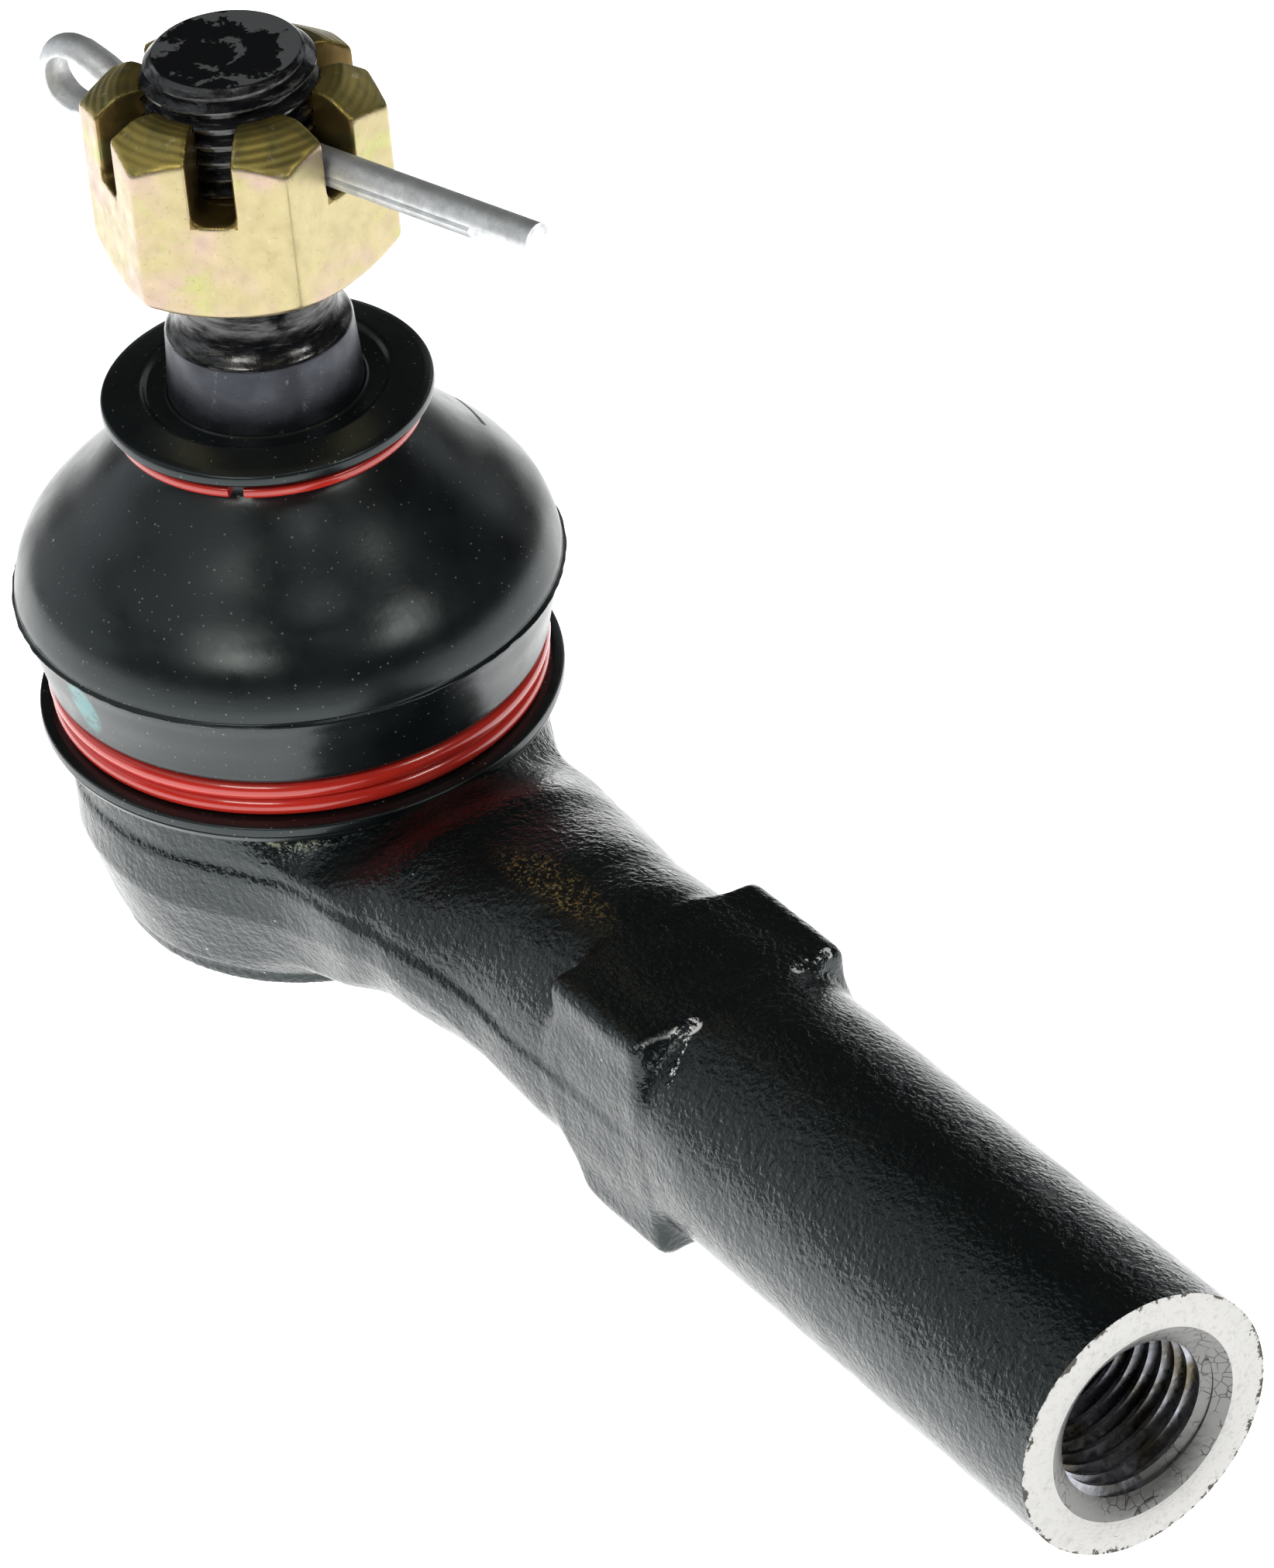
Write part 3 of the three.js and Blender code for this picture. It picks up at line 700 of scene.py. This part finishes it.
def housing_field(block, rng):
    """Distance to the forging's skin: cup, neck and barrel, square boss, parting line and lumps."""
    x, y, z = block.x, block.y, block.z
    radius = np.sqrt(x * x + y * y)
    heights = np.linspace(-2, 26, 281)
    wall = np.interp(heights, *zip(*HEAD_PROFILE))
    wall = np.convolve(np.pad(wall, 3, "edge"), np.ones(7) / 7, "valid")
    from_wall = radius - np.interp(z, heights, wall).astype(np.float32)
    head = blend_cut(from_wall, np.abs(z - SHOULDER_Z / 2) - SHOULDER_Z / 2, 1.0)

    # The neck and barrel, round at the barrel and squarer toward the head.
    half_width = eased_station(x, 1).astype(np.float32)
    bottom, top = eased_station(x, 2).astype(np.float32), eased_station(x, 3).astype(np.float32)
    middle, half_height = (top + bottom) / 2, (top - bottom) / 2
    u, v = np.abs(y / half_width) + 1e-4, (z - middle) / half_height
    squareness = np.clip((50 - x) / 16, 0, 1) * np.where(v < 0, 0.7, 0.25)
    power = (2 + squareness).astype(np.float32)
    v = np.abs(v) + 1e-4
    across = (u**power + v**power) ** (1 / power)
    slope = np.sqrt((u ** (power - 1) / half_width) ** 2 + (v ** (power - 1) / half_height) ** 2) + 1e-5
    bar = (across - 1) * across ** (power - 1) / slope
    bar = np.maximum(bar, BAR_STATIONS[0][0] - x)

    # The square boss, sloped at its lower corners, and the flats that run out along the bar.
    square = rounded_square(y, z - BARREL_Z, BOSS["half"], BOSS["rounding"])
    ramp = np.maximum(x - BOSS["end"] + 2, BOSS["start"] + 2 - x) / 6
    flats = np.maximum(np.abs(y), np.abs(z - BARREL_Z)) - BOSS["half"] - np.clip(ramp, 0, 3)
    corner = np.sqrt(y * y + (z - BARREL_Z) ** 2) - BARREL_RADIUS
    start_slope = np.maximum(corner, 0) * np.where(z > BARREL_Z, 0, 0.6)
    lean = 1.4 * np.clip((BARREL_Z - z) / 8, 0, 1)
    within = np.maximum(BOSS["start"] + start_slope + lean - x, x - lean - BOSS["end"])
    boss = blend_cut(square, within, 1.0)
    bar = blend_cut(bar, flats, 0.8)
    bar = blend_union(bar, boss, 1.3)

    field = blend_union(head, bar, 5.0)
    # The parting line's groove and ledge, the draft below it, and the forged skin's lumps.
    rise = PARTING["rise"] * np.exp(-(((x - PARTING["rise_x"]) / PARTING["rise_length"]) ** 2))
    from_parting = z - PARTING["z"] - rise
    groove = PARTING["groove"] * np.exp(-((from_parting / 0.35) ** 2))
    ledge = PARTING["ledge"] * np.tanh(from_parting / 0.25)
    sides = np.maximum(np.clip((np.abs(y) - 5) / 4, 0, 1), np.clip((4 - x) / 6, 0, 1))
    fade = np.clip((72 - x) / 30, 0.1, 1)
    field = field + sides * fade * (groove + ledge)
    below_edge = np.maximum(np.interp(x, *zip(*DRAFT_EDGE)).astype(np.float32) - z, 0)
    field = field + DRAFT_SLOPE * below_edge * sides
    lumps = 0.035 * block.noise(14, rng) + 0.02 * block.noise(4.5, rng) + 0.02 * block.noise(1.7, rng)
    field = field + lumps

    # The turned collar and step, which run on down into the head.
    inside_z = 12
    collar = blend_cut(radius - COLLAR_RADIUS, np.abs(z - inside_z) - (COLLAR_TOP - inside_z), 0.6)
    step = blend_cut(radius - STEP_RADIUS, np.abs(z - inside_z) - (SHOULDER_Z + 0.2 - inside_z), 0.3)
    return np.minimum(field, np.minimum(collar, step))


def build_housing():
    """The forging: its skin from the distance field, with the ends, the socket and the tapped bore cut."""
    rng = np.random.default_rng(7)
    block = Block((-21, -21, -1.4), (END_X + 1.4, 21, 25.2), voxel=0.36)
    housing = block.surface("housing_forging", housing_field(block, rng))

    reach, past = 40, 6  # how far the flat cutters go from their axis, and past the metal
    past_end = [(0, END_X), (reach, END_X), (reach, END_X + past), (0, END_X + past)]
    cut(housing, lathe("end_cutter", past_end, 64, turn=ALONG_BARREL))
    under_base = [(0, -past), (reach, -past), (reach, 0), (0, 0)]
    cut(housing, lathe("base_cutter", under_base, 64))

    cavity = rounded([
        (0, -2, 0), (12.2, -2, 0), (12.2, 1.2, 0.25), (SOCKET_RADIUS, 1.2, 0), (SOCKET_RADIUS, 3.4, 0),
        (13.9, 3.4, 0.3), (13.9, 19.5, 0.3), (11.6, 20.7, 0.4), (13.0, 25, 0), (0, 25, 0)])
    cut(housing, lathe("socket_cutter", cavity, 160))

    drill_tip, bore_end, mouth_start = (END_X - BORE[part] for part in ("tip_depth", "depth", "mouth_depth"))
    bore_radius, mouth_radius = BORE["radius"], BORE["mouth_radius"]
    drill = [
        (0, drill_tip), (bore_radius, bore_end), (bore_radius, mouth_start),
        (mouth_radius, END_X), (mouth_radius, END_X + 2), (0, END_X + 2)]
    cut(housing, lathe("drill_cutter", drill, 144, turn=ALONG_BARREL))
    tap = thread_tool("tap_cutter", TAP["crest"], TAP["root"], bore_end + 5, END_X + 1, turn=ALONG_BARREL)
    cut(housing, tap)

    set_sharp_edges(housing, 50)
    centres, normals = face_facts(housing)
    x, y, z = centres.T
    radius = np.hypot(y, z - BARREL_Z)
    at_end = x > END_X - 0.02
    on_cone = (radius > bore_radius + 0.05) & (radius < mouth_radius + 0.05) & (normals[:, 0] > 0.3)
    in_mouth = on_cone & (x > mouth_start - 0.2) & ~at_end
    in_bore = (radius < TAP["crest"] + 0.25) & (x > drill_tip - 1) & ~at_end & ~in_mouth
    in_socket = (np.hypot(x, y) < SOCKET_RADIUS + 0.05) & (z > 0.01)
    indices = np.select([at_end, in_mouth, in_bore, in_socket], [1, 2, 3, 4], 0)
    socket_steel = turned_metal("socket_steel", (0.42, 0.42, 0.43), 0.35)
    materials = black_paint(), machined_face(), countersink(), tapped_thread(), socket_steel
    dress(housing, *materials, indices=indices)
    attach(housing, "housing_body")
    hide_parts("housing")


# -------- inside the socket
BALL_RADIUS, BALL_Z = 11.0, 14.3


def bearing(name, node, bottom, top):
    """A bearing ring with a spherical bore and grease grooves round its outside."""
    bore_radius = BALL_RADIUS + 0.25
    low, high = (math.degrees(math.asin((z - BALL_Z) / bore_radius)) for z in (bottom, top))
    bore = arc(BALL_Z, bore_radius, high, low, 12)
    outer, depth = 13.6, 0.3
    sunk = outer - depth
    grooves = []
    for z in np.linspace(bottom, top, 5)[1:-1]:
        grooves += [(outer, z - 0.35), (sunk, z - 0.2), (sunk, z + 0.2), (outer, z + 0.35)]
    outline = [(sunk, bottom), (outer, bottom + depth), *grooves, (outer, top - depth), (sunk, top), *bore]
    piece = lathe(name, outline, 144, closed=True)
    dress(piece, bearing_plastic())
    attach(piece, "housing_body")
    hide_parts(node)


def build_inside():
    """End cap, spring, seat and bearing shell."""
    bearing("bearing_shell", "upper_bearing_shell", BALL_Z + 0.3, 19.2)
    bearing("bearing_seat", "lower_bearing_seat", 6.6, BALL_Z - 0.3)

    spring = rounded([(9, 5.3, 0.1), (13.3, 3.8, 0.1), (13.3, 4.7, 0.1), (9, 6.2, 0.1)])
    washer = lathe("cone_spring", spring, 144, closed=True)
    dress(washer, turned_metal("spring_steel", (0.30, 0.31, 0.34), 0.3))
    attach(washer, "housing_body")
    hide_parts("preload_spring")

    pan = rounded([
        (0, 0, 0), (3.2, 0, 0), (3.6, 0.35, 0.3), (5.2, 0.35, 0.3), (5.7, 0, 0.4), (10.4, 0, 0.7),
        (11.2, 1.5, 0.5), (14.6, 1.5, 0.2), (14.6, 3.1, 0.2), (10.6, 3.1, 0.6), (9.5, 1.6, 0.6),
        (0, 1.6, 0)])
    cap = lathe("pressed_cap", pan, 160)
    dress(cap, turned_metal("plated_cover", (0.62, 0.60, 0.52), 0.34))
    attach(cap, "housing_body")
    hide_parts("end_cap")


# -------- ball stud
RIM = {"z": 53.5, "radius": 7.5}  # the taper's upper end


def taper_radius(z):
    """The seat's radius at a height, narrowing by 1 in 8 of diameter."""
    return RIM["radius"] + (RIM["z"] - z) / 16


def build_stud():
    """Ball, waist, taper and undercut as one turned piece, threaded and drilled for the pin."""
    ball = arc(BALL_Z, BALL_RADIUS, -54.9, 56.9, 28)
    waist = [(6.0, 26, 2), (6.0, 33, 3), (taper_radius(45), 44.4, 1.2), (taper_radius(46), 46, 0)]
    shank = rounded(waist, 6)[2:]
    edge = [(taper_radius(53.2), 53.2), (RIM["radius"], 53.42)]
    groove = [(RIM["radius"], RIM["z"]), (6.75, 54.3), (6.2, 55.5), (6.05, 56.8), (6.3, 58.2), (6.7, 59.6)]
    undercut = curve_through(groove, 5)[1:]
    inside_thread = [(6.5, 62), (5.9, 63), (0, 63)]
    body = [(0, ball[0][1]), *ball, *shank, *edge, *undercut, *inside_thread]
    stud = lathe("ball_stud_body", body, 192, smooth_angle=28)

    rod = thread_tool("stud_thread", THREAD["crest"], THREAD["root"], THREAD["start"], 84, segments=144)
    sleeve = [
        (0, 59.2), (5.7, 59.2), (6.95, 60.3), (6.95, 77.2), (5.9, STUD_TOP - 0.06), (5.8, STUD_TOP),
        (0, STUD_TOP)]
    cut(rod, lathe("thread_sleeve", sleeve, 144), "INTERSECT")
    cut(stud, rod, "UNION")

    across = Matrix.Translation((0, 0, PIN_Z)) @ PIN_TURN @ Matrix.Rotation(math.pi / 2, 4, "Y")
    hole_radius, reach = 1.75, 9
    drill = [(0, -reach), (hole_radius, -reach), (hole_radius, reach), (0, reach)]
    cut(stud, lathe("pin_drill", drill, 40, turn=across))

    set_sharp_edges(stud, 30)
    height = face_facts(stud)[0][:, 2]
    on_ball = height <= 24
    on_taper = height < RIM["z"] - 0.05
    on_end = height > STUD_TOP - 0.03
    ball_steel = turned_metal("ball_steel", (0.60, 0.60, 0.62), 0.16)
    indices = np.select([on_ball, on_taper, on_end], [3, 1, 2], 0)
    dress(stud, stud_black(), stud_taper(), stud_end(), ball_steel, indices=indices)
    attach(stud, "stud")
    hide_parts("ball_stud")


# -------- castle nut
NUT_FLATS, SLOT_WIDTH, SLOT_BOTTOM, SLOT_ROUNDING = 21.4, 3.5, 68.9, 1.0


def build_nut():
    """A chamfered hexagon with six slots, bored and tapped."""
    block = Block((-13, -13, NUT_BOTTOM - 0.8), (13, 13, NUT_TOP + 0.8), voxel=0.19)
    x, y, z = block.x, block.y, block.z
    radius = np.sqrt(x * x + y * y)
    field = np.maximum(NUT_BOTTOM - z, z - NUT_TOP)
    slope = math.radians(33)
    top_cone = (radius - 8.7) * math.sin(slope) + (z - NUT_TOP) * math.cos(slope)
    low_cone = (radius - 10.4) * math.sin(slope) + (NUT_BOTTOM - z) * math.cos(slope)
    headings = [PIN_HEADING + side * math.pi / 3 for side in range(6)]
    sides = None
    for heading in headings:
        out = x * math.cos(heading) + y * math.sin(heading) - NUT_FLATS / 2
        sides = out if sides is None else blend_cut(sides, out, 0.5)
    field = blend_cut(field, sides, 0.35)
    field = blend_cut(field, top_cone, 0.4)
    field = blend_cut(field, low_cone, 0.4)
    for heading in headings:
        along = x * math.cos(heading) + y * math.sin(heading)
        aside = -x * math.sin(heading) + y * math.cos(heading)
        past_side = np.abs(aside) - (SLOT_WIDTH / 2 - SLOT_ROUNDING)
        notch = rounded_corner(past_side, SLOT_BOTTOM + SLOT_ROUNDING - z, SLOT_ROUNDING)
        notch = np.maximum(notch, 2 - along)
        field = blend_cut(field, -notch, 0.35)
    nut = block.surface("castle_nut_body", field)

    bore = [
        (0, NUT_BOTTOM - 2), (8.0, NUT_BOTTOM - 1), (6.3, NUT_BOTTOM + 0.9), (6.3, NUT_TOP - 0.8),
        (7.6, NUT_TOP + 0.6), (0, NUT_TOP + 1)]
    cut(nut, lathe("nut_drill", bore, 120))
    tap_crest, tap_root = 7.06, 6.22
    cut(nut, thread_tool("nut_tap", tap_crest, tap_root, THREAD["start"], NUT_TOP + 3))

    set_sharp_edges(nut, 45)
    centres, normals = face_facts(nut)
    radii = np.hypot(centres[:, 0], centres[:, 1])
    heading = np.arctan2(centres[:, 1], centres[:, 0]) - PIN_HEADING
    turn = np.mod(heading + math.pi / 6, math.pi / 3) - math.pi / 6
    sideways = np.abs(radii * np.sin(turn))
    in_slot = (sideways < SLOT_WIDTH / 2 + 0.12) & (centres[:, 2] > SLOT_BOTTOM - 0.1)
    in_bore = radii < tap_crest + 0.09
    on_top = normals[:, 2] > 0.4
    side_zinc = yellow_zinc("nut_side", (0.47, 0.40, 0.22), (0.49, 0.37, 0.29), (0.44, 0.43, 0.18), 0.34)
    # The slots and the tapped bore get a much darker copy of the same zinc: painted shade in these recesses.
    slot_zinc_painted_shade = yellow_zinc("nut_slot_painted_shade", (0.22, 0.15, 0.045), (0.16, 0.11, 0.04), (0.14, 0.13, 0.05), 0.36)
    dress(nut, side_zinc, nut_top(), slot_zinc_painted_shade, indices=np.select([in_bore | in_slot, on_top], [2, 1], 0))
    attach(nut, "stud")
    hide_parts("castle_nut")


# -------- cotter pin
def build_pin():
    """A half-round wire: in along the upper leg, round the eye and back along the lower leg."""
    long_end, short_end, bend_x = 30, 24.3, -9.5
    gap, eye_x, eye_radius, wire_radius = 0.08, -16.3, 2.25, 1.42
    upper = [(x, gap) for x in np.linspace(long_end, bend_x, 30)]
    bend = curve_through([(bend_x, gap), (-11.2, 0.4), (-13.4, 1.5), (-15.4, 2.2)], 6)[1:]
    round_eye = np.radians(np.linspace(80, 280, 30))
    eye = [(eye_x + eye_radius * math.cos(a), eye_radius * math.sin(a)) for a in round_eye]
    back = [(x, -z) for x, z in reversed(bend)]
    lower = [(x, -gap) for x in np.linspace(bend_x, short_end, 28)]
    line = np.array([*upper, *bend, *eye, *back, *lower])
    ahead = np.gradient(line, axis=0)
    ahead /= np.linalg.norm(ahead, axis=1)[:, None]
    path = [(x, 0, z) for x, z in line]
    outs = [(a[1], 0, -a[0]) for a in ahead]
    half_turn = np.radians(np.linspace(0, 180, 17))[1:-1]
    half_round = [(wire_radius * math.sin(a), wire_radius * math.cos(a)) for a in half_turn]
    edge = [(0.0, wire_radius - 0.12), (0.1, wire_radius - 0.02)]
    other_edge = [(out, -side) for out, side in reversed(edge)]
    section = [*edge, *half_round, *other_edge]
    pin = sweep("split_pin", path, outs, section[::-1], 50)
    pin.data.transform(Matrix.Translation((0, 0, PIN_Z * MM)) @ PIN_TURN)
    dress(pin, bright_zinc())
    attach(pin, "pin")
    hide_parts("cotter_pin")


# -------- boot and rings
BOOT_SHOULDER = [  # radius and height, from the neck up to the lip
    (18.9, 22.75), (20.0, 22.95), (20.5, 23.35), (20.75, 24.4), (21.05, 25.7), (21.4, 27.0), (21.75, 28.4),
    (22.1, 29.8), (21.98, 31.3), (21.06, 33.8), (19.02, 36.3), (16.33, 38.8), (13.76, 41.3), (11.5, 43.3),
    (10.7, 44.2),
]
FLASH_Z = 29.85


def flash_ridge(points):
    """Raises an uneven moulding flash round the boot's widest line, and lets the skin wander a little."""
    rng = np.random.default_rng(11)
    radius = np.hypot(points[:, 0], points[:, 1])
    heading = np.arctan2(points[:, 1], points[:, 0])
    ripple = 0
    for turns in range(5, 90, 6):
        ripple = ripple + rng.normal(0, 1) * np.cos(heading * turns + rng.uniform(0, 6.28)) / turns**0.5
    outside = radius > 19.5
    ridge = np.exp(-((points[:, 2] - FLASH_Z) / 0.16) ** 2) * (0.32 + 0.07 * ripple) * outside
    wander = 0.05 * np.cos(3 * heading + 1.1) + 0.03 * np.cos(5 * heading + 2.3)
    grow = (radius + ridge + wander * outside) / radius
    points[:, 0] *= grow
    points[:, 1] *= grow
    return points


def build_boot():
    """The rubber boot: neck with its bead, shoulder, lip and lining, as one turned outline."""
    shoulder = curve_through(BOOT_SHOULDER, 6)
    fine = []
    for (r0, z0), (r1, z1) in zip(shoulder, shoulder[1:]):
        steps = 5 if abs((z0 + z1) / 2 - FLASH_Z) < 0.9 else 1
        fine += [(r0 + (r1 - r0) * s / steps, z0 + (z1 - z0) * s / steps) for s in range(steps)]
    neck = rounded([
        (17.35, 18.95, 0.15), (19.75, 18.95, 0.2), (19.8, 17.75, 0.1), (21.0, 17.7, 0.25),
        (21.3, 18.3, 0.05), (21.15, 18.42, 0.05), (21.4, 18.55, 0.05), (21.4, 19.3, 0.25),
        (20.6, 19.5, 0.2), (18.6, 19.5, 0.4), (18.6, 22.6, 0.6)])
    lip = rounded([
        (10.6, 45.6, 0.2), (11.2, 45.95, 0.2), (12.6, 46.15, 0.3), (13.35, 46.6, 0.35), (13.3, 47.45, 0.4),
        (12.6, 47.65, 0.3), (10.1, 48.2, 0.6), (9.6, 47.75, 0.4), (8.2, 47.6, 0.3), (7.95, 47.75, 0.1),
        (7.87, 47.6, 0.1), (7.9, 44.4, 0.4)])
    thickness = 1.75
    lining = [(r - thickness, z - 0.6) for r, z in reversed(BOOT_SHOULDER[4:-1])]
    inside = curve_through([(8.6, 43.3), *lining[1:], (18.4, 24.6), (17.5, 23.4), (17.3, 22)], 3)
    outline = [*neck, *fine, (10.65, 44.6), *lip, *inside]
    boot = lathe("boot_rubber", outline, 256, closed=True, smooth_angle=48, shape=flash_ridge)
    dress(boot, black_rubber())
    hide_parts("dust_boot")
    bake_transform(boot)


def flattened(value):
    """A cosine or sine raised to 0.6, its sign kept, which squares a circle off."""
    return math.copysign(abs(value) ** 0.6, value)


def build_upper_ring():
    """The split ring under the boot's lip, a rounded strip with square ends."""
    radius, half_width, half_height = 11.75, 0.72, 0.5
    half_gap = 0.05
    heading = math.radians(-45)
    angles = np.linspace(heading + half_gap, heading + 2 * math.pi - half_gap, 150)
    path = [(radius * math.cos(a), radius * math.sin(a), 45.3) for a in angles]
    outs = [(math.cos(a), math.sin(a), 0) for a in angles]
    steps = np.arange(20) * 2 * math.pi / 20
    section = [(half_width * flattened(math.cos(a)), half_height * flattened(math.sin(a))) for a in steps]
    ring = sweep("upper_red_ring", path, outs, section, 50)
    dress(ring, red_coating())
    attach(ring, "boot_collar")
    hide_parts("boot_upper_ring")


def build_lower_ring():
    """Coated wire wound nearly twice round the boot's neck, stepping up at the back."""
    bottom, rise, wire_radius = 20.36, 1.64, 0.82
    turns = np.linspace(0, 1.8, 420)
    climb = ease((turns - 0.84) / 0.14)
    angles = (turns + 0.36) * 2 * math.pi
    radii = 19.5 + 0.15 * climb
    path = np.stack([radii * np.cos(angles), radii * np.sin(angles), bottom + rise * climb], axis=1)
    outs = np.stack([np.cos(angles), np.sin(angles), 0 * angles], axis=1)
    steps = np.arange(24) * 2 * math.pi / 24
    section = [(wire_radius * math.cos(a), wire_radius * math.sin(a)) for a in steps]
    ring = sweep("lower_red_ring", path, outs, section, 60)
    dress(ring, red_coating())
    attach(ring, "housing_body")
    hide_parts("boot_lower_ring")


# -------- studio
def add_floor():
    """One large flat pale sheet, which glows most round the part."""
    half = 2500
    corners = [(-half, -half, 0), (half, -half, 0), (half, half, 0), (-half, half, 0)]
    floor = new_object("studio_floor", corners, [(0, 1, 2, 3)])
    pale = Shader("floor_paper", Roughness=0.9, Specular_IOR_Level=0.1)
    pale.colour(pale.noise(300, 2), (0.50, 0.50, 0.50), (0.53, 0.53, 0.53))
    away = pale.vector("LENGTH", pale.place, output="Value")
    pale.principled.inputs["Emission Color"].default_value = (1, 1, 1, 1)
    pale.feed("Emission Strength", pale.ramp(away, 0.22, 0.40, 1.9, 0.38))
    dress(floor, pale.material)


def add_light(name, place, aim, size, power, tint):
    """A rectangular soft light at place, facing aim; metres and watts."""
    data = bpy.data.lights.new(name, "AREA")
    data.shape = "RECTANGLE"
    data.size, data.size_y = size
    data.energy = power
    data.color = tint
    light = bpy.data.objects.new(name, data)
    facing = Vector(aim) - Vector(place)
    light.matrix_world = Matrix.Translation(place) @ facing.to_track_quat("-Z", "Y").to_matrix().to_4x4()
    bpy.context.collection.objects.link(light)


LIGHTS = [  # name, heading and elevation in degrees, distance and size in metres, watts, tint
    ("key_left", -63, 42, 1.2, (0.42, 0.22), 3.0, (1, 0.97, 0.90)),
    ("key_right", 25, 40.3, 1.2, (0.30, 0.19), 2.0, (1, 0.97, 0.92)),
    ("top_fill", -8, 67, 1.4, (0.35, 0.3), 0.9, (1, 1, 1)),
    ("left_over", -115, 52, 1.4, (1.4, 0.9), 2.4, (0.95, 0.98, 1)),
    ("left_fill", -140, 15, 1.3, (1.5, 0.6), 2.3, (0.92, 0.96, 1)),
    ("back_fill", 112, 20, 1.3, (0.8, 0.35), 0.7, (0.95, 0.98, 1)),
]


def add_lights():
    """The soft lights, a dim white world and plain colours."""
    world = bpy.data.worlds.new("studio_world")
    world.use_nodes = True
    background = world.node_tree.nodes["Background"]
    background.inputs["Color"].default_value = (1, 1, 1, 1)
    background.inputs["Strength"].default_value = 0.045
    bpy.context.scene.world = world
    aim = Vector((0.03, 0, 0.03))
    for name, heading, elevation, distance, size, power, tint in LIGHTS:
        heading, elevation = math.radians(heading), math.radians(elevation)
        level = distance * math.cos(elevation)
        offset = (level * math.cos(heading), level * math.sin(heading), distance * math.sin(elevation))
        add_light(name, aim + Vector(offset), aim, size, power, tint)
    bpy.context.scene.view_settings.view_transform = "Standard"


build_housing()
build_inside()
build_stud()
build_nut()
build_pin()
build_boot()
build_upper_ring()
build_lower_ring()
add_floor()
add_lights()
